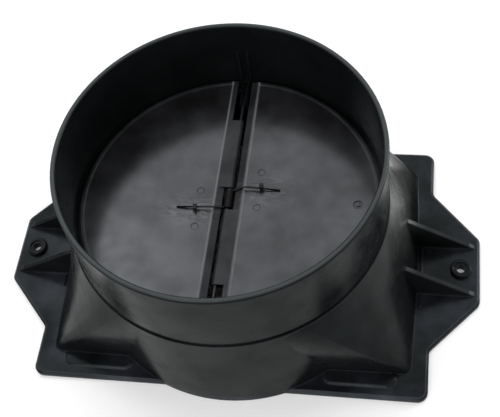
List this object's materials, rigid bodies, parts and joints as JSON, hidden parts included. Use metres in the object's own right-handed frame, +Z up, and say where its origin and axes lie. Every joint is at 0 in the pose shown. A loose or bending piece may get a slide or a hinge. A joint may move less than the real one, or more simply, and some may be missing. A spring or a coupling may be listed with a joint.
{
  "type": "duct backdraft damper",
  "caption": "Black moulded duct backdraft damper: rectangular base with screw ears, square-to-round body, round duct collar and sprung half-moon flaps on a hinge pin.",
  "frame": {"origin": "middle of the base's underside, on the collar's axis", "axes": "+X through the two screw ears, +Y along the hinge pin, +Z up the collar, the way the air leaves"},
  "size_m": [0.242, 0.1538, 0.1],
  "materials": {
    "housing_plastic": "satin black moulded plastic",
    "flap_plastic": "satin black moulded plastic, faintly mottled",
    "pin_steel": "dark oiled steel",
    "spring_steel": "dark drawn spring wire"
  },
  "bodies": {
    "housing": {"housing": "housing_plastic", "hinge_pin": "pin_steel", "torsion_spring": "spring_steel"},
    "flap_left": {"flap_left": "flap_plastic"},
    "flap_right": {"flap_right": "flap_plastic"}
  },
  "joints": [
    {"name": "flap_left_hinge", "type": "hinge", "parent": "housing", "child": "flap_left", "pos_m": [0, 0, 0.0592], "axis": [0, 1, 0], "range_deg": [0, 65], "stiffness_Nm_per_rad": 0.02, "springref_deg": -28.65, "deforming": ["torsion_spring"]},
    {"name": "flap_right_hinge", "type": "hinge", "parent": "housing", "child": "flap_right", "pos_m": [0, 0, 0.0592], "axis": [0, -1, 0], "range_deg": [0, 65], "stiffness_Nm_per_rad": 0.02, "springref_deg": -28.65, "deforming": ["torsion_spring"]}
  ]
}
